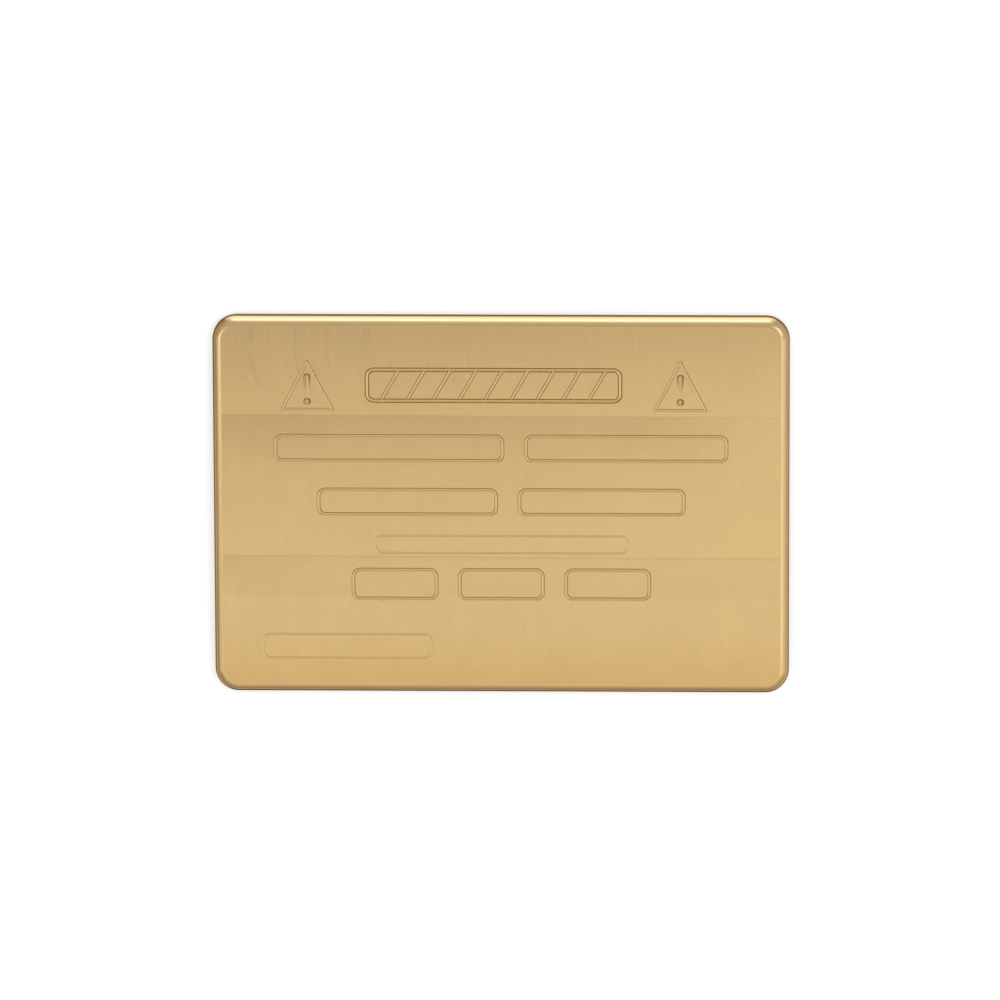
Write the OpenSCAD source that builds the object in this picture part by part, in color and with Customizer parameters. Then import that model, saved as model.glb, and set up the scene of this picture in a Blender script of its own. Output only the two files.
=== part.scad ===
// Caution sign: one solid brass plate with a rounded front edge and an engraved face.
// Units are millimetres. The plate lies on its flat back, face up: +X runs to the sign's right,
// +Y to its top edge, +Z out of the face. The origin is the middle of the back.

/* [Plate] */
// Width of the plate, left to right
plate_w = 152.4; // [140:0.1:220]
// Height of the plate, bottom edge to top edge
plate_h = 101.6; // [98:0.1:160]
// Thickness of the plate
plate_t = 4.76; // [3.2:0.01:12]
// Radius of the four corners, seen from the front
corner_r = 6.35; // [4:0.05:12]
// Radius of the rounded front edge
edge_r = 2.38; // [0.5:0.01:2.8]

/* [Grooves] */
// Width of the groove around the heading panel
heading_groove_w = 1.16; // [0.8:0.02:1.6]
// Depth of the groove around the heading panel
heading_groove_d = 0.44; // [0.3:0.01:0.5]
// Width of the slanted stripes inside the heading panel
stripe_w = 0.96; // [0.5:0.02:1.4]
// Depth of the slanted stripes, less than that of the groove they end in
stripe_d = 0.25; // [0.1:0.01:0.27]
// Width of the groove around each field
field_groove_w = 0.96; // [0.5:0.02:1.4]
// Depth of the groove around each field
field_groove_d = 0.25; // [0.1:0.01:0.45]
// Width of the grooves that form the two triangles
triangle_groove_w = 0.84; // [0.5:0.02:1.2]
// Depth of the grooves that form the two triangles
triangle_groove_d = 0.18; // [0.1:0.01:0.4]
// Width of the light grooves around the note and corner fields
light_groove_w = 0.56; // [0.3:0.02:1]
// Depth of the light grooves around the note and corner fields
light_groove_d = 0.08; // [0.04:0.01:0.14]

/* [Heading row] */
// Distance from the plate's top edge down to the middle of the heading panel
heading_from_top = 18.2; // [14:0.1:22]
// Sideways shift of the heading row from the middle of the plate
heading_shift = -1.9; // [-3:0.1:3]
// Width of the heading panel, over its groove
heading_w = 68; // [50:0.5:76]
// Height of the heading panel, over its groove
heading_h = 9.5; // [7:0.1:12]
// Number of slanted stripes in the heading panel
stripe_count = 9; // [3:1:12]
// Lean of the stripes from upright, in degrees
stripe_lean = 30; // [10:1:40]

/* [Warning triangles] */
// Distance between the middles of the two triangles
triangle_spacing = 98.6; // [92:0.1:110]
// Distance from the plate's top edge down to the base line of the triangles
triangle_base_from_top = 24.8; // [22:0.1:27]
// Width of a triangle along the middle of its grooves
triangle_w = 13.4; // [12:0.1:16]
// Height of a triangle along the middle of its grooves
triangle_h = 12.8; // [12:0.1:15]
// How much deeper the cutter sinks where it turns at a triangle's corner
corner_sink = 0.04; // [0.02:0.01:0.1]

/* [Exclamation mark] */
// Depth of the mark and of its dot
mark_d = 0.4; // [0.2:0.01:0.6]
// Width of the mark at its upper end
mark_top_w = 2; // [1.4:0.05:2.4]
// Width of the mark at its lower end
mark_foot_w = 0.55; // [0.3:0.05:1]
// Length of the mark between the middles of its rounded ends
mark_len = 4.6; // [3:0.1:5]
// Height of the mark's lower end above the triangle's base line
mark_up = 4.1; // [3.8:0.1:4.6]
// Width of the round dot
dot_w = 2; // [1:0.05:2.2]
// Height of the dot's middle above the triangle's base line
dot_up = 2.15; // [1.8:0.05:2.3]

/* [Blank fields] */
// Corner radius of the heading panel and of every field, at the middle of the groove
field_corner_r = 1.8; // [1:0.1:2]
// Space between neighbouring fields of a row
field_gap = 5.2; // [3:0.1:8]
// Height of the fields in the two upper rows, over their grooves
field_h = 7.6; // [6:0.1:9]
// Distance from the heading panel down to the first row of fields
first_row_down = 17; // [15:0.1:18]
// Width of the first row's left field
first_left_w = 61; // [40:0.5:62]
// Width of the first row's right field
first_right_w = 54; // [40:0.5:62]
// Distance from the first row down to the second row
second_row_down = 14.5; // [12:0.1:16]
// Width of the second row's left field
second_left_w = 48; // [30:0.5:60]
// Width of the second row's right field
second_right_w = 44.4; // [30:0.5:60]
// Distance from the second row down to the note field
note_down = 11.5; // [9:0.1:13]
// Width of the note field
note_w = 67.2; // [40:0.5:110]
// Height of the note field
note_h = 5.2; // [5:0.1:7]
// Distance from the note field down to the third row of fields
third_row_down = 10.8; // [9:0.1:12]
// Number of equal fields in the third row
third_count = 3; // [1:1:4]
// Width of each field in the third row
third_w = 23; // [10:0.5:26]
// Height of each field in the third row
third_h = 8.8; // [6:0.1:10]

/* [Corner field] */
// Width of the small field in the lower left corner
corner_field_w = 45; // [20:0.5:60]
// Height of the small field in the lower left corner
corner_field_h = 7; // [5:0.1:8]
// Distance from the plate's left edge to that field
corner_field_in = 12.8; // [10:0.1:20]
// Distance from the plate's bottom edge up to that field
corner_field_up = 9.2; // [6:0.1:10]

/* [Hidden] */
brass = [0.80, 0.69, 0.48];
edge_facets = 48;
groove_facets = 18;
bend_facets = 24;
ball_facets = 28;
overcut = 0.05;
heading_y = plate_h / 2 - heading_from_top;
first_y = heading_y - first_row_down;
second_y = first_y - second_row_down;
note_y = second_y - note_down;
third_y = note_y - third_row_down;
triangle_y = plate_h / 2 - triangle_base_from_top;
corner_field_x = -plate_w / 2 + corner_field_in + corner_field_w / 2;
corner_field_y = -plate_h / 2 + corner_field_up + corner_field_h / 2;

// Radius of the ball nose that leaves a cut of the given width and depth
function ball_r(width, depth) = (width * width / 4 + depth * depth) / (2 * depth);

// Section through the plate's rim, from a corner's centre line out to the wall
module rim_section() {
    square([corner_r, plate_t - edge_r]);
    square([corner_r - edge_r, plate_t]);
    translate([corner_r - edge_r, plate_t - edge_r]) circle(r = edge_r, $fn = edge_facets);
}

// Straight stretch of rim along X, with its wall on the +Y side
module straight_rim(len) {
    translate([-len / 2, 0, 0])
        rotate([90, 0, 90])
            linear_extrude(len) rim_section();
}

// The plate before it is engraved
module blank() {
    core_w = plate_w - 2 * corner_r;
    core_h = plate_h - 2 * corner_r;
    translate([-core_w / 2, -core_h / 2, 0]) cube([core_w, core_h, plate_t]);
    for (turn = [0, 180]) {
        rotate(turn) translate([0, core_h / 2, 0]) straight_rim(core_w);
        rotate(turn + 90) translate([0, core_w / 2, 0]) straight_rim(core_h);
    }
    for (i = [0:3]) {
        side_x = (i == 0 || i == 3) ? 1 : -1;
        side_y = i < 2 ? 1 : -1;
        translate([side_x * core_w / 2, side_y * core_h / 2, 0])
            rotate(90 * i) rotate_extrude(angle = 90, $fn = edge_facets) rim_section();
    }
}

// Section of a groove, [width, depth]: the cutter's nose, from its lowest point to just above the face
module groove_section(groove) {
    nose_r = ball_r(groove[0], groove[1]);
    intersection() {
        translate([0, nose_r - groove[1]]) circle(r = nose_r, $fn = groove_facets);
        translate([-nose_r, -groove[1]]) square([2 * nose_r, groove[1] + overcut]);
    }
}

// Straight round-bottomed groove between two points of the face
module straight_groove(from, to, groove) {
    run = to - from;
    translate([from.x, from.y, plate_t])
        rotate([90, 0, 90 + atan2(run.y, run.x)])
            linear_extrude(norm(run)) groove_section(groove);
}

// Closed groove around a field with bent corners, its size taken over the groove's outer edges
module field(w, h, groove) {
    run_w = w - groove[0] - 2 * field_corner_r;
    run_h = h - groove[0] - 2 * field_corner_r;
    for (side = [-1, 1]) {
        y = side * (run_h / 2 + field_corner_r);
        x = side * (run_w / 2 + field_corner_r);
        straight_groove([-run_w / 2, y], [run_w / 2, y], groove);
        straight_groove([x, -run_h / 2], [x, run_h / 2], groove);
    }
    for (i = [0:3]) {
        side_x = (i == 0 || i == 3) ? 1 : -1;
        side_y = i < 2 ? 1 : -1;
        translate([side_x * run_w / 2, side_y * run_h / 2, plate_t])
            rotate(90 * i)
                rotate_extrude(angle = 90, $fn = bend_facets)
                    translate([field_corner_r, 0]) groove_section(groove);
    }
}

// Two fields side by side with a gap between them, centred together on the plate
module field_pair(left_w, right_w, h, groove) {
    left = -(left_w + field_gap + right_w) / 2;
    translate([left + left_w / 2, 0, 0]) field(left_w, h, groove);
    translate([-left - right_w / 2, 0, 0]) field(right_w, h, groove);
}

// Heading panel: a deep groove around slanted warning stripes that end in it
module heading_panel() {
    rise = heading_h - heading_groove_w;
    lean = rise * tan(stripe_lean);
    first_x = -heading_w / 2 + field_corner_r + lean;
    pitch = -2 * first_x / (stripe_count - 1);
    field(heading_w, heading_h, [heading_groove_w, heading_groove_d]);
    for (i = [0:stripe_count - 1]) {
        x = first_x + i * pitch;
        straight_groove([x - lean / 2, -rise / 2], [x + lean / 2, rise / 2], [stripe_w, stripe_d]);
    }
}

// Exclamation mark: a stroke that tapers between two balls, over a round dot
module exclamation_mark() {
    top_r = ball_r(mark_top_w, mark_d);
    lift = top_r - mark_d;
    foot_r = sqrt(lift * lift + mark_foot_w * mark_foot_w / 4);
    dot_r = ball_r(dot_w, mark_d);
    translate([0, mark_up, plate_t + lift]) {
        rotate([-90, 0, 0]) cylinder(h = mark_len, r1 = foot_r, r2 = top_r, $fn = ball_facets);
        sphere(r = foot_r, $fn = ball_facets);
        translate([0, mark_len, 0]) sphere(r = top_r, $fn = ball_facets);
    }
    translate([0, dot_up, plate_t + dot_r - mark_d]) sphere(r = dot_r, $fn = ball_facets);
}

// Warning triangle around its mark: three grooves that meet in slightly deeper round corners
module warning_triangle() {
    nose_r = ball_r(triangle_groove_w, triangle_groove_d);
    corners = [[-triangle_w / 2, 0], [triangle_w / 2, 0], [0, triangle_h]];
    for (i = [0:2]) {
        straight_groove(corners[i], corners[(i + 1) % 3], [triangle_groove_w, triangle_groove_d]);
        translate([corners[i].x, corners[i].y, plate_t + nose_r - triangle_groove_d])
            sphere(r = nose_r + corner_sink, $fn = ball_facets);
    }
    exclamation_mark();
}

// Everything that is cut into the face
module engraving() {
    field_groove = [field_groove_w, field_groove_d];
    light_groove = [light_groove_w, light_groove_d];
    third_pitch = third_w + field_gap;
    translate([heading_shift, heading_y, 0]) heading_panel();
    for (side = [-1, 1])
        translate([heading_shift + side * triangle_spacing / 2, triangle_y, 0]) warning_triangle();
    translate([0, first_y, 0]) field_pair(first_left_w, first_right_w, field_h, field_groove);
    translate([0, second_y, 0]) field_pair(second_left_w, second_right_w, field_h, field_groove);
    translate([0, note_y, 0]) field(note_w, note_h, light_groove);
    for (i = [0:third_count - 1])
        translate([(i - (third_count - 1) / 2) * third_pitch, third_y, 0])
            field(third_w, third_h, field_groove);
    translate([corner_field_x, corner_field_y, 0])
        field(corner_field_w, corner_field_h, light_groove);
}

module plate() {
    color(brass)
        difference() {
            blank();
            engraving();
        }
}

plate();
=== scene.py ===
"""Caution sign: the looks of one engraved brass plate, in metres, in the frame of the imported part."""

import math

import bmesh
import bpy
from mathutils import Matrix, Vector


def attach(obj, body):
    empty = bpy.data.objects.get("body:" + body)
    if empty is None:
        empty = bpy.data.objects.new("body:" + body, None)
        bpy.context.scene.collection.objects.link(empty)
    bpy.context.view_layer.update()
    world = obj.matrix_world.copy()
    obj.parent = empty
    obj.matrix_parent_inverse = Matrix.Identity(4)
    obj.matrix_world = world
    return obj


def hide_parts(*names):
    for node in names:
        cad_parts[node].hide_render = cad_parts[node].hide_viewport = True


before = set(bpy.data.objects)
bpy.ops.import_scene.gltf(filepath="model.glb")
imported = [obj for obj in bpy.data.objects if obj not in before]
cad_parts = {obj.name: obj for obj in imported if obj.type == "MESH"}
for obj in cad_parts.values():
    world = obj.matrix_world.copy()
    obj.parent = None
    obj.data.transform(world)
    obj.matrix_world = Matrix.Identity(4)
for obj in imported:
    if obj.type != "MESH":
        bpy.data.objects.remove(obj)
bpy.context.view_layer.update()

MM = 0.001

# Plate
PLATE_W = 152.4 * MM
PLATE_H = 101.6 * MM
PLATE_T = 4.76 * MM
CORNER_R = 6.35 * MM
EDGE_R = 2.38 * MM
BACK_BREAK = 0.2 * MM
CORNER_STEPS = 28
EDGE_STEPS = 16
BACK_STEPS = 2

# Grooves, as width and depth
HEADING_GROOVE = (1.16 * MM, 0.44 * MM)
STRIPE_GROOVE = (0.96 * MM, 0.25 * MM)
FIELD_GROOVE = (0.96 * MM, 0.25 * MM)
TRIANGLE_GROOVE = (0.84 * MM, 0.18 * MM)
LIGHT_GROOVE = (0.56 * MM, 0.08 * MM)
CUTTER_SIDES = 40
BALL_SIDES = 48

# Heading panel and its slanted stripes
HEADING_AT = (-1.9 * MM, 32.6 * MM)
HEADING_SIZE = (68 * MM, 9.5 * MM)
STRIPE_COUNT = 9
STRIPE_LEAN = math.radians(30)

# Warning triangles
TRIANGLE_SPACING = 98.6 * MM
TRIANGLE_BASE_Y = 26.0 * MM
TRIANGLE_SIZE = (13.4 * MM, 12.8 * MM)
CORNER_SINK = 0.04 * MM
LEFT_TRIANGLE_X = HEADING_AT[0] - TRIANGLE_SPACING / 2

# Exclamation marks inside the triangles
MARK_DEPTH = 0.4 * MM
MARK_TOP_W = 2 * MM
MARK_FOOT_W = 0.55 * MM
MARK_LENGTH = 4.6 * MM
MARK_UP = 4.1 * MM
DOT_W = 2 * MM
DOT_UP = 2.15 * MM

# Blank fields, as the middle and the size over the groove
FIELD_BEND_R = 1.8 * MM
FIELD_BEND_STEPS = 14
FIRST_LEFT = ((-29.6 * MM, 15.6 * MM), (61 * MM, 7.6 * MM))
FIRST_RIGHT = ((33.1 * MM, 15.6 * MM), (54 * MM, 7.6 * MM))
SECOND_LEFT = ((-24.8 * MM, 1.1 * MM), (48 * MM, 7.6 * MM))
SECOND_RIGHT = ((26.6 * MM, 1.1 * MM), (44.4 * MM, 7.6 * MM))
NOTE_FIELD = ((0, -10.4 * MM), (67.2 * MM, 5.2 * MM))
THIRD_FIELD = ((-28.2 * MM, -21.2 * MM), (23 * MM, 8.8 * MM))
THIRD_PITCH = 28.2 * MM
THIRD_COUNT = 3
CORNER_FIELD = ((-40.9 * MM, -38.1 * MM), (45 * MM, 7 * MM))

# Smooth shading stops at edges steeper than this
CREASE = math.radians(24)

# A face is level when its normal rises or falls this much; two heights this near are the same
FLAT = 0.9999
SAME_HEIGHT = 1e-6

# Places of the plate's own finishes among its materials
FACE_SLOT = 0
RIM_SLOT = 1
WALL_SLOT = 2
BACK_SLOT = 3


def deselect():
    """Leaves nothing selected in object mode."""
    bpy.ops.object.select_all(action="DESELECT")


def only(piece):
    """Makes a piece the one that the next operator acts on."""
    deselect()
    piece.select_set(True)
    bpy.context.view_layer.objects.active = piece


def settle(piece):
    """Puts a piece's place, turn and size into its mesh."""
    only(piece)
    bpy.ops.object.transform_apply(location=True, rotation=True, scale=True)


def select_edges(piece, wanted):
    """In edit mode, selects just the edges that fit."""
    bpy.ops.mesh.select_all(action="DESELECT")
    shape = bmesh.from_edit_mesh(piece.data)
    for edge in shape.edges:
        if wanted(edge):
            edge.select_set(True)
    bmesh.update_edit_mesh(piece.data)


def at_height(edge, z):
    """True for an edge that lies at height z."""
    return all(abs(corner.co.z - z) < SAME_HEIGHT for corner in edge.verts)


def upright(edge):
    """True for an edge that runs up through the plate."""
    return abs(edge.verts[0].co.z - edge.verts[1].co.z) > PLATE_T / 2


def cutter_radius(groove):
    """Radius of the ball nose that leaves a cut of this width and depth."""
    width, depth = groove
    return (width * width / 4 + depth * depth) / (2 * depth)


def axis_height(groove):
    """Height of the nose's middle when it cuts this deep."""
    return PLATE_T + cutter_radius(groove) - groove[1]


def plate_blank():
    """The plate before engraving: bent corners, rounded front edge, broken back edge."""
    deselect()
    bpy.ops.mesh.primitive_cube_add(
        size=1, location=(0, 0, PLATE_T / 2), scale=(PLATE_W, PLATE_H, PLATE_T)
    )
    blank = bpy.context.object
    blank.name = "engraved_plate"
    settle(blank)
    bpy.ops.object.mode_set(mode="EDIT")
    bpy.ops.mesh.select_mode(type="EDGE")
    select_edges(blank, upright)
    bpy.ops.mesh.bevel(offset=CORNER_R, segments=CORNER_STEPS, affect="EDGES")
    select_edges(blank, lambda edge: at_height(edge, PLATE_T))
    bpy.ops.mesh.bevel(offset=EDGE_R, segments=EDGE_STEPS, affect="EDGES")
    select_edges(blank, lambda edge: at_height(edge, 0))
    bpy.ops.mesh.bevel(offset=BACK_BREAK, segments=BACK_STEPS, affect="EDGES")
    bpy.ops.object.mode_set(mode="OBJECT")
    return blank


def field_cutter(place, groove):
    """The path of the ball nose round a field with bent corners."""
    (x, y), (width, height) = place
    deselect()
    bpy.ops.mesh.primitive_plane_add(size=1, location=(x, y, axis_height(groove)))
    bpy.ops.transform.resize(value=(width - groove[0], height - groove[0], 1))
    loop = bpy.context.object
    settle(loop)
    bpy.ops.object.mode_set(mode="EDIT")
    bpy.ops.mesh.select_all(action="SELECT")
    bpy.ops.mesh.bevel(offset=FIELD_BEND_R, segments=FIELD_BEND_STEPS, affect="VERTICES")
    bpy.ops.mesh.select_all(action="SELECT")
    bpy.ops.mesh.delete(type="ONLY_FACE")
    bpy.ops.object.mode_set(mode="OBJECT")
    only(loop)
    bpy.ops.object.convert(target="CURVE")
    loop = bpy.context.object
    loop.data.dimensions = "3D"
    loop.data.bevel_depth = cutter_radius(groove)
    loop.data.bevel_resolution = CUTTER_SIDES // 4
    bpy.ops.object.convert(target="MESH")
    return bpy.context.object


def straight_cutter(start, end, groove):
    """The path of the ball nose along a straight groove."""
    run_x = end[0] - start[0]
    run_y = end[1] - start[1]
    deselect()
    bpy.ops.mesh.primitive_cylinder_add(
        vertices=CUTTER_SIDES,
        radius=cutter_radius(groove),
        depth=math.hypot(run_x, run_y),
        location=((start[0] + end[0]) / 2, (start[1] + end[1]) / 2, axis_height(groove)),
        rotation=(math.pi / 2, 0, math.atan2(run_y, run_x) + math.pi / 2),
    )
    settle(bpy.context.object)
    return bpy.context.object


def ball_cutter(middle, radius):
    """A ball nose sunk straight down."""
    deselect()
    bpy.ops.mesh.primitive_uv_sphere_add(
        segments=BALL_SIDES, ring_count=BALL_SIDES // 2, radius=radius, location=middle
    )
    settle(bpy.context.object)
    return bpy.context.object


def repeat(piece, count, step):
    """Copies a piece sideways within its own mesh."""
    only(piece)
    rows = piece.modifiers.new("Copies", "ARRAY")
    rows.count = count
    rows.use_relative_offset = False
    rows.use_constant_offset = True
    rows.constant_offset_displace = (step, 0, 0)
    bpy.ops.object.modifier_apply(modifier=rows.name)
    return piece


def stripe_cutters():
    """The slanted stripes of the heading panel, one cut and its copies."""
    rise = HEADING_SIZE[1] - HEADING_GROOVE[0]
    lean = rise * math.tan(STRIPE_LEAN)
    first = -HEADING_SIZE[0] / 2 + FIELD_BEND_R + lean
    step = -2 * first / (STRIPE_COUNT - 1)
    foot = (HEADING_AT[0] + first - lean / 2, HEADING_AT[1] - rise / 2)
    head = (HEADING_AT[0] + first + lean / 2, HEADING_AT[1] + rise / 2)
    return repeat(straight_cutter(foot, head, STRIPE_GROOVE), STRIPE_COUNT, step)


def mark_cutters():
    """The exclamation marks: a stroke, its round ends and a dot, cut left and copied right."""
    x = LEFT_TRIANGLE_X
    top_r = cutter_radius((MARK_TOP_W, MARK_DEPTH))
    lift = top_r - MARK_DEPTH
    foot_r = math.hypot(lift, MARK_FOOT_W / 2)
    dot_r = cutter_radius((DOT_W, MARK_DEPTH))
    foot_y = TRIANGLE_BASE_Y + MARK_UP
    deselect()
    bpy.ops.mesh.primitive_cone_add(
        vertices=BALL_SIDES,
        radius1=foot_r,
        radius2=top_r,
        depth=MARK_LENGTH,
        location=(x, foot_y + MARK_LENGTH / 2, PLATE_T + lift),
        rotation=(-math.pi / 2, 0, 0),
    )
    stroke = bpy.context.object
    settle(stroke)
    cuts = [
        stroke,
        ball_cutter((x, foot_y, PLATE_T + lift), foot_r),
        ball_cutter((x, foot_y + MARK_LENGTH, PLATE_T + lift), top_r),
        ball_cutter((x, TRIANGLE_BASE_Y + DOT_UP, PLATE_T + dot_r - MARK_DEPTH), dot_r),
    ]
    return [repeat(cut, 2, TRIANGLE_SPACING) for cut in cuts]


def triangle_cutters():
    """The sides and corners of both warning triangles, cut left and copied right."""
    width, height = TRIANGLE_SIZE
    corners = [
        (LEFT_TRIANGLE_X - width / 2, TRIANGLE_BASE_Y),
        (LEFT_TRIANGLE_X + width / 2, TRIANGLE_BASE_Y),
        (LEFT_TRIANGLE_X, TRIANGLE_BASE_Y + height),
    ]
    corner_r = cutter_radius(TRIANGLE_GROOVE) + CORNER_SINK
    cuts = []
    for i in range(3):
        cuts.append(straight_cutter(corners[i], corners[(i + 1) % 3], TRIANGLE_GROOVE))
        cuts.append(ball_cutter((*corners[i], axis_height(TRIANGLE_GROOVE)), corner_r))
    return [repeat(cut, 2, TRIANGLE_SPACING) for cut in cuts]


def outline_cutters():
    """Every cut of the face but the exclamation marks, in the order in which they are made."""
    cuts = [field_cutter((HEADING_AT, HEADING_SIZE), HEADING_GROOVE), stripe_cutters()]
    cuts += triangle_cutters()
    for place in (FIRST_LEFT, FIRST_RIGHT, SECOND_LEFT, SECOND_RIGHT):
        cuts.append(field_cutter(place, FIELD_GROOVE))
    cuts.append(repeat(field_cutter(THIRD_FIELD, FIELD_GROOVE), THIRD_COUNT, THIRD_PITCH))
    cuts.append(field_cutter(NOTE_FIELD, LIGHT_GROOVE))
    cuts.append(field_cutter(CORNER_FIELD, LIGHT_GROOVE))
    return cuts


def cut(plate, cutter, finish):
    """Takes a cutter's shape out of the plate; the cut walls get the cutter's finish."""
    cutter.data.materials.clear()
    cutter.data.materials.append(finish)
    only(cutter)
    bpy.ops.object.mode_set(mode="EDIT")
    bpy.ops.mesh.select_all(action="SELECT")
    bpy.ops.mesh.normals_make_consistent(inside=False)
    bpy.ops.object.mode_set(mode="OBJECT")
    only(plate)
    taking = plate.modifiers.new("Cut", "BOOLEAN")
    taking.operation = "DIFFERENCE"
    taking.solver = "MANIFOLD"
    taking.material_mode = "TRANSFER"
    taking.object = cutter
    bpy.ops.object.modifier_apply(modifier=taking.name)
    bpy.data.objects.remove(cutter, do_unlink=True)


def smooth(piece):
    """Smooth shading with crisp groove edges and a flat, even face."""
    only(piece)
    bpy.ops.object.shade_smooth_by_angle(angle=CREASE)
    weighted = piece.modifiers.new("Even", "WEIGHTED_NORMAL")
    weighted.mode = "FACE_AREA"
    weighted.keep_sharp = True
    bpy.ops.object.modifier_apply(modifier=weighted.name)


def screen(red, green, blue):
    """A colour from its screen values, 0 to 255."""

    def straight(value):
        value /= 255
        return value / 12.92 if value <= 0.04045 else ((value + 0.055) / 1.055) ** 2.4

    return (straight(red), straight(green), straight(blue), 1)


# Strengths at the two ends of a fade
IN = (0.0, 1.0)
OUT = (1.0, 0.0)

# Where the noise patterns have most of their values
NOISE_SPREAD = (0.3, 0.7)


class Recipe:
    """A node tree and the few kinds of node that everything here is made of."""

    def __init__(self, tree):
        self.tree = tree

    def new(self, kind):
        """A new node of a kind."""
        return self.tree.nodes.new(kind)

    def feed(self, socket, value):
        """Gives a socket a number, a colour or another node's output."""
        if isinstance(value, bpy.types.NodeSocket):
            self.tree.links.new(value, socket)
        else:
            socket.default_value = value

    def calc(self, operation, first, second=0.0, third=0.0):
        """One step of arithmetic."""
        step = self.new("ShaderNodeMath")
        step.operation = operation
        for socket, value in zip(step.inputs, (first, second, third)):
            self.feed(socket, value)
        return step.outputs[0]

    def plus(self, first, second):
        """The sum of two values."""
        return self.calc("ADD", first, second)

    def minus(self, first, second):
        """The difference of two values."""
        return self.calc("SUBTRACT", first, second)

    def times(self, first, second):
        """The product of two values."""
        return self.calc("MULTIPLY", first, second)

    def both(self, first, share, second, other_share):
        """Two values added, each by its share."""
        return self.plus(self.times(first, share), self.times(second, other_share))

    def apart(self, vector):
        """The three numbers of a vector."""
        parts = self.new("ShaderNodeSeparateXYZ")
        self.feed(parts.inputs[0], vector)
        return parts.outputs

    def point(self, x=0.0, y=0.0, z=0.0):
        """A point made of three numbers."""
        made = self.new("ShaderNodeCombineXYZ")
        for socket, value in zip(made.inputs, (x, y, z)):
            self.feed(socket, value)
        return made.outputs[0]

    def fade(self, value, ends, strengths):
        """A value's place between two ends, as a strength that goes from one to the other."""
        made = self.new("ShaderNodeMapRange")
        for name, given in (
            ("Value", value),
            ("From Min", ends[0]),
            ("From Max", ends[1]),
            ("To Min", strengths[0]),
            ("To Max", strengths[1]),
        ):
            self.feed(made.inputs[name], given)
        return made.outputs[0]


class Finish(Recipe):
    """A metal finish: place on the plate in mm, direction that the surface faces, shader."""

    def __init__(self, name):
        self.material = bpy.data.materials.new(name)
        self.material.use_nodes = True
        super().__init__(self.material.node_tree)
        self.shader = next(n for n in self.tree.nodes if n.type == "BSDF_PRINCIPLED")
        where = self.new("ShaderNodeTexCoord")
        in_mm = self.new("ShaderNodeVectorMath")
        in_mm.operation = "SCALE"
        in_mm.inputs["Scale"].default_value = 1 / MM
        self.feed(in_mm.inputs[0], where.outputs["Object"])
        self.place = in_mm.outputs[0]
        self.x, self.y, self.z = self.apart(self.place)
        self.facing_x, self.facing_y, self.facing_z = self.apart(where.outputs["Normal"])

    def noise(self, where, scale, detail=2.0, roughness=0.5):
        """Even noise between 0 and 1, around 0.5."""
        made = self.new("ShaderNodeTexNoise")
        self.feed(made.inputs["Vector"], where)
        made.inputs["Scale"].default_value = scale
        made.inputs["Detail"].default_value = detail
        made.inputs["Roughness"].default_value = roughness
        return made.outputs["Fac"]

    def curve(self, value, stops):
        """A curve through pairs of place and level, both between 0 and 1."""
        made = self.new("ShaderNodeValToRGB")
        self.feed(made.inputs["Fac"], value)
        points = made.color_ramp.elements
        while len(points) < len(stops):
            points.new(0.5)
        for point, (where, level) in zip(points, stops):
            point.position = where
        for point, (where, level) in zip(points, stops):
            point.color = (level, level, level, 1)
        return made.outputs["Color"]

    def blend(self, amount, dark, light):
        """A colour between two colours."""
        made = self.new("ShaderNodeMix")
        made.data_type = "RGBA"
        self.feed(made.inputs["Factor"], amount)
        colours = [socket for socket in made.inputs if socket.type == "RGBA"]
        self.feed(colours[0], dark)
        self.feed(colours[1], light)
        return next(socket for socket in made.outputs if socket.type == "RGBA")

    def metal(self, colour, roughness, relief, height):
        """Bare metal with this colour, roughness and small relief, its height in metres."""
        bump = self.new("ShaderNodeBump")
        self.feed(bump.inputs["Height"], relief)
        bump.inputs["Distance"].default_value = height
        bump.inputs["Strength"].default_value = 1.0
        self.shader.inputs["Metallic"].default_value = 1.0
        self.feed(self.shader.inputs["Base Color"], colour)
        self.feed(self.shader.inputs["Roughness"], roughness)
        self.feed(self.shader.inputs["Normal"], bump.outputs[0])
        return self.material


# Passes of the face mill, in mm: the upper seam, the pitch of the seams, their slope, the mill's radius
SEAM_Y = 24.3
PASS_PITCH = 38.1
SEAM_SLOPE = -0.003
MILL_R = 26.0

# Painted light and shade in bands across the mill's passes: places along the plate's height in mm and
# how light the brass is painted there, from the bottom edge up
PAINTED_FACE_BANDS = (
    (-50.8, 0.70),
    (-40.0, 0.86),
    (-25.4, 0.90),
    (-24.0, 0.80),
    (-16.0, 0.86),
    (-13.9, 0.78),
    (-13.5, 0.93),
    (-5.0, 0.88),
    (10.0, 0.76),
    (18.0, 0.55),
    (24.0, 0.40),
    (24.6, 0.78),
    (36.0, 0.60),
    (46.4, 0.36),
)
FACE_DARK = screen(190, 161, 112)
FACE_LIGHT = screen(223, 191, 133)

# The light tone near the bottom edge, and the stretch in mm over which it takes over
FACE_WARM = screen(222, 184, 121)
WARM_Y = (-34.0, -46.0)

# Painted light: how much lighter the face is painted per mm to the right at mid-height, and the growth
# of that per mm up
PAINTED_SLANT = 0.0013
PAINTED_SLANT_GROWTH = 0.00004

# Painted light: the middle pass is painted lighter at the right: stretch across, strength, stretch up,
# its upper end
PAINTED_LIGHT_RIGHT = ((42.0, 64.0), (0.0, 0.28), (6.0, 24.0), (24.2, 24.4))

# Painted shade: the lower pass is painted darker at the left, given in the same way
PAINTED_SHADE_LEFT = ((-72.0, -36.0), (0.16, 0.0), (-26.0, -16.0), (-13.9, -13.7))

# Tool marks: how far they are drawn out along the rings, how strong they are, and their mean
MARKS_STRETCH = 0.08
MARKS_SHARE = 0.26
FINE_STRETCH = 0.10
FINE_SHARE = 0.20
STREAKS_MEAN = 0.23
CLOUDS_SHARE = 0.22

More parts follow.
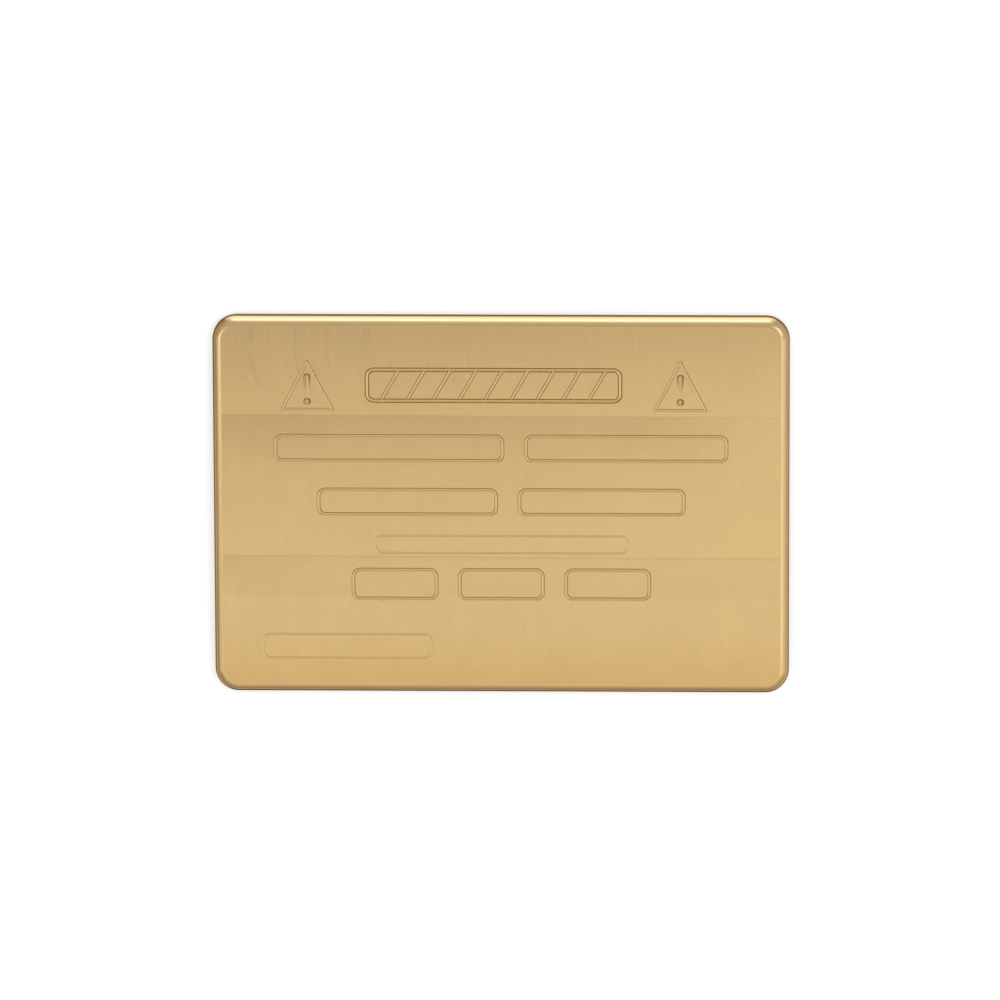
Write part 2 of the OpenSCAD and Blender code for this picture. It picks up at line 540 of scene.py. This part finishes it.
# Deeper arcs where the mill entered: strongest at the upper left, in mm
ARCS_STRETCH = 0.012
ARCS_WIDTH = (0.0, 0.10)
ARCS_X = ((-55.0, 5.0), (1.0, 0.15))
ARCS_Y = ((20.0, 30.0), (0.25, 1.0))
ARCS_BREAKS = ((0.40, 0.62), (0.1, 1.0))
ARCS_SHARE = 0.24

# The thin line of each seam: its middle past the seam and its half width, in mm, and its strength
SEAM_LINE_AT = 0.05
SEAM_LINE = (0.08, 0.30)
SEAM_SHARE = 0.22

# Relief and roughness of the face
MARKS_RELIEF = 0.6
FINE_RELIEF = 0.1
LINES_RELIEF = 0.15
FACE_RELIEF = 0.02 * MM
FACE_ROUGHNESS = (0.26, 0.36)


def painted_patch(face, level, across, strengths, up, end):
    """A soft patch of painted light and shade that ends at the seam above it."""
    strength = face.times(face.fade(face.x, across, strengths), face.fade(level, up, IN))
    return face.times(strength, face.fade(level, end, OUT))


def painted_face_shading(face, level):
    """Painted light and shade across the face: bands by height, lighter to the right, and patches,
    before the marks of the mill.
    """
    half_h = PLATE_H / 2 / MM
    along = face.fade(level, (-half_h, half_h), IN)
    tone = face.curve(along, [((y + half_h) / (2 * half_h), tone) for y, tone in PAINTED_FACE_BANDS])
    # Painted light that grows towards the right
    slant = face.calc("MULTIPLY_ADD", face.calc("MINIMUM", level, SEAM_Y), PAINTED_SLANT_GROWTH, PAINTED_SLANT)
    tone = face.plus(tone, face.times(face.x, slant))
    # A patch of painted light at the right and one of painted shade at the left
    lighter = painted_patch(face, level, *PAINTED_LIGHT_RIGHT)
    darker = painted_patch(face, level, *PAINTED_SHADE_LEFT)
    return face.plus(tone, face.minus(lighter, darker))


def mill_rings(face, from_seam):
    """Which ring of the mill's path a place lies on, and which pass of the mill."""
    in_pass = face.calc("WRAP", from_seam, PASS_PITCH, 0.0)
    off_middle = face.minus(in_pass, PASS_PITCH / 2)
    chord = face.calc("SQRT", face.minus(MILL_R ** 2, face.times(off_middle, off_middle)))
    which_pass = face.calc("FLOOR", face.calc("DIVIDE", from_seam, PASS_PITCH))
    return face.plus(face.x, chord), which_pass


def entry_arcs(face, level, ring, which_pass):
    """A few deeper arcs where the mill entered, broken here and there."""
    along = face.point(ring, face.times(face.y, ARCS_STRETCH), which_pass)
    entry = face.noise(along, scale=0.42, detail=2.0, roughness=0.6)
    edge = face.calc("ABSOLUTE", face.minus(face.times(entry, 2.0), 1.0))
    near = face.times(face.fade(face.x, *ARCS_X), face.fade(level, *ARCS_Y))
    broken = face.fade(face.noise(face.place, scale=0.16, detail=1.0), *ARCS_BREAKS)
    return face.times(face.times(face.fade(edge, ARCS_WIDTH, OUT), broken), near)


def milled_face():
    """Face-milled brass: three passes with seams and painted light and shade across them, the mill's
    round tool marks, fine streaks.
    """
    face = Finish("milled face")
    level = face.minus(face.y, face.times(face.x, SEAM_SLOPE))
    from_seam = face.minus(level, SEAM_Y)
    # Painted light and shade: bands by height, a lightening to the right, and patches
    tone = painted_face_shading(face, level)

    ring, which_pass = mill_rings(face, from_seam)
    along = face.point(ring, face.times(face.y, MARKS_STRETCH), which_pass)
    marks = face.noise(along, scale=0.9, detail=2.0, roughness=0.6)
    along = face.point(ring, face.times(face.y, FINE_STRETCH), which_pass)
    fine = face.noise(along, scale=5.0, detail=1.0, roughness=0.6)
    streaks = face.both(marks, MARKS_SHARE, fine, FINE_SHARE)
    tone = face.plus(tone, face.minus(streaks, STREAKS_MEAN))

    arcs = entry_arcs(face, level, ring, which_pass)
    tone = face.minus(tone, face.times(arcs, ARCS_SHARE))
    to_seam = face.calc("PINGPONG", from_seam, PASS_PITCH / 2)
    off_line = face.calc("ABSOLUTE", face.minus(to_seam, SEAM_LINE_AT))
    seam = face.fade(off_line, SEAM_LINE, OUT)
    tone = face.minus(tone, face.times(seam, SEAM_SHARE))
    clouds = face.noise(face.place, scale=0.045, detail=3.0, roughness=0.55)
    tone = face.plus(tone, face.times(face.minus(clouds, 0.5), CLOUDS_SHARE))

    light = face.blend(face.fade(level, WARM_Y, IN), FACE_LIGHT, FACE_WARM)
    worn = face.noise(face.place, scale=0.12, detail=4.0, roughness=0.6)
    relief = face.both(marks, MARKS_RELIEF, fine, FINE_RELIEF)
    relief = face.minus(relief, face.times(face.plus(arcs, seam), LINES_RELIEF))
    return face.metal(
        face.blend(tone, FACE_DARK, light),
        face.fade(worn, NOISE_SPREAD, FACE_ROUGHNESS),
        relief,
        FACE_RELIEF,
    )


# The rim's brass, darkest and lightest: beside the face, and there near the bottom edge
RIM_INNER = (screen(206, 174, 122), screen(219, 189, 136))
RIM_INNER_LOW = (screen(204, 168, 114), screen(217, 181, 124))
INNER_LOW_Y = (-38.0, -47.0)

# Painted shade beside the wall, darkest and lightest: at the corners, along the front, the right and
# the left side
RIM_OUTER_PAINTED_SHADE = (screen(134, 109, 75), screen(148, 121, 84))
RIM_FRONT_PAINTED_SHADE = (screen(104, 83, 56), screen(118, 96, 66))
RIM_RIGHT_PAINTED_SHADE = (screen(168, 138, 98), screen(184, 152, 110))
RIM_LEFT_PAINTED_SHADE = (screen(154, 125, 86), screen(170, 139, 97))

# How far the surface has to lean each way for those, and where the left side's tone sets in
FRONT_LEAN = (-0.35, -0.65)
RIGHT_LEAN = (0.25, 0.5)
LEFT_LEAN = (-0.25, -0.5)
LEFT_Y = (42.0, 8.0)

# Heights in mm between which the painted shade beside the wall gives way to the inner tones
RIM_RISE = (3.8, 4.42)

# Painted highlight on the far edge: its colour, and how far the surface leans that way
RIM_PAINTED_HIGHLIGHT = screen(244, 221, 170)
HIGHLIGHT_LEAN = (0.3, 0.65)

# A dark tint at grazing angles, as painted shade on the rim's outer part
RIM_GRAZING_SHADE = (0.25, 0.20, 0.16, 1)
RIM_STRETCH = 0.01
RIM_RELIEF = 0.004 * MM
RIM_ROUGHNESS = (0.14, 0.22)


def rounded_rim():
    """The rounded edge: smoother brass with fine lines that run along it, painted shade beside the wall
    and a painted highlight behind.
    """
    rim = Finish("rounded rim")
    along = rim.point(rim.z, rim.times(rim.x, RIM_STRETCH), rim.times(rim.y, RIM_STRETCH))
    lines = rim.noise(along, scale=7.0, detail=3.0)
    worn = rim.noise(rim.place, scale=0.2, detail=4.0, roughness=0.6)
    grain = rim.both(lines, 0.6, worn, 0.4)
    low = rim.fade(rim.y, INNER_LOW_Y, IN)
    inner = rim.blend(low, rim.blend(grain, *RIM_INNER), rim.blend(grain, *RIM_INNER_LOW))
    # Painted shade beside the wall: deepest along the front, lighter at the right and the left side
    front = rim.fade(rim.facing_y, FRONT_LEAN, IN)
    outer_painted_shade = rim.blend(front, rim.blend(grain, *RIM_OUTER_PAINTED_SHADE), rim.blend(grain, *RIM_FRONT_PAINTED_SHADE))
    right = rim.fade(rim.facing_x, RIGHT_LEAN, IN)
    outer_painted_shade = rim.blend(right, outer_painted_shade, rim.blend(grain, *RIM_RIGHT_PAINTED_SHADE))
    left = rim.times(rim.fade(rim.facing_x, LEFT_LEAN, IN), rim.fade(rim.y, LEFT_Y, IN))
    outer_painted_shade = rim.blend(left, outer_painted_shade, rim.blend(grain, *RIM_LEFT_PAINTED_SHADE))
    # The painted shade gives way to the rim's own brass higher up
    toned_with_painted_shade = rim.blend(rim.fade(rim.z, RIM_RISE, IN), outer_painted_shade, inner)
    # Painted highlight on the side that faces behind
    behind = rim.minus(rim.facing_y, rim.calc("ABSOLUTE", rim.facing_x))
    # Dark grazing tint: painted shade
    rim.shader.inputs["Specular Tint"].default_value = RIM_GRAZING_SHADE
    return rim.metal(
        rim.blend(rim.fade(behind, HIGHLIGHT_LEAN, IN), toned_with_painted_shade, RIM_PAINTED_HIGHLIGHT),
        rim.fade(worn, NOISE_SPREAD, RIM_ROUGHNESS),
        lines,
        RIM_RELIEF,
    )


# The cuts' brass: darkened as painted shade on steep walls, bright on the bottom, and how far up a wall
# has to face for each
GROOVE_PAINTED_SHADE_TONES = (screen(168, 132, 84), screen(222, 190, 134))
GROOVE_FACING = ((0.6, 0.98), (0.0, 0.85))
RIPPLE_SHARE = 0.3
GROOVE_ROUGHNESS = (0.22, 0.32)
GROOVE_RELIEF = 0.004 * MM
# The exclamation mark's brass: darkened as painted shade on its sides, and bright on its bottom
MARK_PAINTED_SHADE_TONES = (screen(176, 142, 96), screen(224, 192, 137))
MARK_FACING = (0.75, 0.97)
MARK_LEAN = (0.06, 0.22)
MARK_ROUGHNESS = (0.26, 0.36)
MARK_RELIEF = 0.002 * MM


def cut_groove():
    """The engraver's cut: brass with the cutter's fine marks, bright below and darkened at the sides as
    painted shade.
    """
    groove = Finish("cut groove")
    ripple = groove.noise(groove.place, scale=3.5, detail=3.0, roughness=0.6)
    # Painted shade: steep walls darker than the bottom
    level = groove.fade(groove.facing_z, *GROOVE_FACING)
    tone = groove.plus(level, groove.times(groove.minus(ripple, 0.5), RIPPLE_SHARE))
    return groove.metal(
        groove.blend(tone, *GROOVE_PAINTED_SHADE_TONES),
        groove.fade(ripple, NOISE_SPREAD, GROOVE_ROUGHNESS),
        ripple,
        GROOVE_RELIEF,
    )


def cut_mark():
    """The exclamation mark's cut: a narrow bright bottom between brown sides darkened as painted shade.
    """
    mark = Finish("cut mark")
    ripple = mark.noise(mark.place, scale=3.5, detail=3.0, roughness=0.6)
    # Painted shade on the sides that lean left and right and on steep walls
    sides = mark.fade(mark.calc("ABSOLUTE", mark.facing_x), MARK_LEAN, OUT)
    level = mark.calc("MINIMUM", sides, mark.fade(mark.facing_z, MARK_FACING, IN))
    return mark.metal(
        mark.blend(level, *MARK_PAINTED_SHADE_TONES),
        mark.fade(ripple, NOISE_SPREAD, MARK_ROUGHNESS),
        ripple,
        MARK_RELIEF,
    )


# The wall's brass, darkened as painted shade, and a dark grazing tint as painted shade too
WALL_PAINTED_SHADE_TONES = (screen(112, 90, 62), screen(140, 115, 80))
WALL_GRAZING_SHADE = (0.5, 0.45, 0.4, 1)
WALL_STRETCH = 0.03
WALL_ROUGHNESS = (0.24, 0.36)
WALL_RELIEF = 0.01 * MM


def milled_wall():
    """The upright wall: fine lines round the plate, darker than the rim as painted shade, and duller.
    """
    wall = Finish("milled wall")
    along = wall.point(wall.times(wall.x, WALL_STRETCH), wall.times(wall.y, WALL_STRETCH), wall.z)
    lines = wall.noise(along, scale=9.0, detail=3.0)
    worn = wall.noise(wall.place, scale=0.25, detail=4.0, roughness=0.6)
    wall.shader.inputs["Specular Tint"].default_value = WALL_GRAZING_SHADE
    return wall.metal(
        wall.blend(wall.both(lines, 0.6, worn, 0.4), *WALL_PAINTED_SHADE_TONES),
        wall.fade(worn, NOISE_SPREAD, WALL_ROUGHNESS),
        lines,
        WALL_RELIEF,
    )


BACK_TONES = (screen(170, 140, 92), screen(214, 184, 130))
BACK_STRETCH = 0.02
BACK_ROUGHNESS = (0.36, 0.5)
BACK_RELIEF = 0.01 * MM


def plain_back():
    """The back: rolled stock as it came, with long faint scratches and dull clouds."""
    back = Finish("rolled back")
    along = back.point(back.times(back.x, BACK_STRETCH), back.y, back.z)
    grain = back.noise(along, scale=3.0, detail=4.0, roughness=0.7)
    clouds = back.noise(back.place, scale=0.05, detail=4.0, roughness=0.6)
    return back.metal(
        back.blend(back.both(grain, 0.4, clouds, 0.6), *BACK_TONES),
        back.fade(clouds, NOISE_SPREAD, BACK_ROUGHNESS),
        grain,
        BACK_RELIEF,
    )


def dress(plate):
    """Gives each face of the blank its finish, by where it lies."""
    for finish in (milled_face(), rounded_rim(), milled_wall(), plain_back()):
        plate.data.materials.append(finish)
    for face in plate.data.polygons:
        if face.normal.z > FLAT:
            face.material_index = FACE_SLOT
        elif face.normal.z < -FLAT:
            face.material_index = BACK_SLOT
        elif face.center.z > PLATE_T - EDGE_R:
            face.material_index = RIM_SLOT
        else:
            face.material_index = WALL_SLOT


def engrave(plate, cutters, finish):
    """Makes cuts one after the other."""
    for cutter in cutters:
        cut(plate, cutter, finish)


def engraved_plate():
    """The whole sign: blank, finishes, engraving, shading."""
    plate = plate_blank()
    dress(plate)
    engrave(plate, mark_cutters(), cut_mark())
    engrave(plate, outline_cutters(), cut_groove())
    smooth(plate)
    return plate


# Camera: where it stands, its right, up and back directions, its lens in mm and the lens's shift
CAMERA_AT = (0.08424, 0.55794, 2.54421)
CAMERA_RIGHT = (0.99947, -0.003457, -0.032365)
CAMERA_UP = (-0.00356, 0.976765, -0.214285)
CAMERA_BACK = (0.032354, 0.214287, 0.976235)
LENS = 354.0
SENSOR = 36.0
SHIFT = (-0.001385, 0.004363)
NEAREST = 0.01
FARTHEST = 100


def place_camera():
    """The long lens of the product photograph, almost straight above the plate."""
    lens = bpy.data.cameras.new("camera")
    lens.lens = LENS
    lens.sensor_width = SENSOR
    lens.shift_x, lens.shift_y = SHIFT
    lens.clip_start = NEAREST
    lens.clip_end = FARTHEST
    camera = bpy.data.objects.new("camera", lens)
    bpy.context.scene.collection.objects.link(camera)
    turn = Matrix((CAMERA_RIGHT, CAMERA_UP, CAMERA_BACK)).transposed()
    camera.matrix_world = Matrix.Translation(CAMERA_AT) @ turn.to_4x4()
    bpy.context.scene.camera = camera


# How light the room is: overhead, at the walls, and what the right and back walls add
ROOM_CEILING = 0.70
ROOM_WALLS = 0.66
ROOM_SIDES = (0.16, 0.26, 0)

# Lamps: name, direction from the plate, distance, width and depth, how light a mirror shows them
LAMPS = (
    ("over the face", (-0.03, -0.31, 1.0), 2.2, (2.2, 0.62), 0.31),
    ("front", (0, -0.70, 1.0), 2.2, (2.2, 1.5), 0.14),
    ("left", (-1.05, -0.28, 1.0), 0.87, (0.32, 0.50), 0.28),
    ("left strip", (-0.59, -0.01, 1.0), 0.70, (0.20, 0.26), 0.85),
    ("right", (0.66, -0.25, 1.0), 0.74, (0.30, 0.46), 0.33),
    ("right strip", (0.50, -0.20, 1.0), 0.68, (0.28, 0.24), 0.22),
    ("right side", (1.6, -0.4, 1.0), 0.90, (0.40, 0.45), 0.26),
    ("right corner", (0.66, 0.31, 1.0), 0.742, (0.30, 0.36), 1.0),
    ("behind, low", (0, 2.0, 0.50), 2.0, (1.3, 1.05), 0.75),
)


def softbox(name, toward, distance, size, level):
    """A soft lamp that faces the plate and that the camera does not see."""
    lamp = bpy.data.lights.new(name, "AREA")
    lamp.shape = "RECTANGLE"
    lamp.size, lamp.size_y = size
    lamp.energy = level * math.pi * size[0] * size[1]
    holder = bpy.data.objects.new(name, lamp)
    bpy.context.scene.collection.objects.link(holder)
    away = Vector(toward).normalized()
    holder.location = away * distance
    holder.rotation_mode = "QUATERNION"
    holder.rotation_quaternion = away.to_track_quat("Z", "Y")
    holder.visible_camera = False


def pale_room():
    """The room around the plate: pale, a little lighter to the right and behind."""
    world = bpy.data.worlds.new("room")
    bpy.context.scene.world = world
    world.use_nodes = True
    room = Recipe(world.node_tree)
    background = room.tree.nodes["Background"]
    background.inputs["Color"].default_value = (1, 1, 1, 1)
    toward = room.new("ShaderNodeTexCoord").outputs["Generated"]
    side = room.new("ShaderNodeVectorMath")
    side.operation = "DOT_PRODUCT"
    room.feed(side.inputs[0], toward)
    side.inputs[1].default_value = ROOM_SIDES
    walls = room.plus(side.outputs["Value"], ROOM_WALLS)
    height = room.apart(toward)["Z"]
    room.feed(background.inputs["Strength"], room.fade(height, IN, (walls, ROOM_CEILING)))


def studio():
    """Plain soft light: the pale room, two large lamps over the face, smaller ones for the rim."""
    pale_room()
    for lamp in LAMPS:
        softbox(*lamp)


FLOOR_SIZE = 12
FLOOR_WHITE = (0.93, 0.93, 0.93, 1)
FLOOR_ROUGHNESS = 0.9

# What the floor shows on top of the light that falls on it
FLOOR_LIFT = 0.36


def pale_floor():
    """The floor: plain white, shown a little lighter than it is lit, with the plate's shadow."""
    deselect()
    bpy.ops.mesh.primitive_plane_add(size=FLOOR_SIZE, location=(0, 0, 0))
    floor = bpy.context.object
    floor.name = "floor"
    material = bpy.data.materials.new("white floor")
    material.use_nodes = True
    white = Recipe(material.node_tree)
    shader = next(n for n in white.tree.nodes if n.type == "BSDF_PRINCIPLED")
    shader.inputs["Base Color"].default_value = FLOOR_WHITE
    shader.inputs["Roughness"].default_value = FLOOR_ROUGHNESS
    shader.inputs["Specular IOR Level"].default_value = 0.0
    shader.inputs["Emission Color"].default_value = (1, 1, 1, 1)
    ray = white.new("ShaderNodeLightPath").outputs
    seen = white.calc("MAXIMUM", ray["Is Camera Ray"], ray["Is Glossy Ray"])
    seen = white.calc("MAXIMUM", seen, ray["Is Transmission Ray"])
    white.feed(shader.inputs["Emission Strength"], white.times(seen, FLOOR_LIFT))
    floor.data.materials.append(material)


plate = engraved_plate()
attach(plate, "root")
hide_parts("plate")

pale_floor()
studio()
place_camera()
bpy.context.scene.view_settings.view_transform = "Standard"
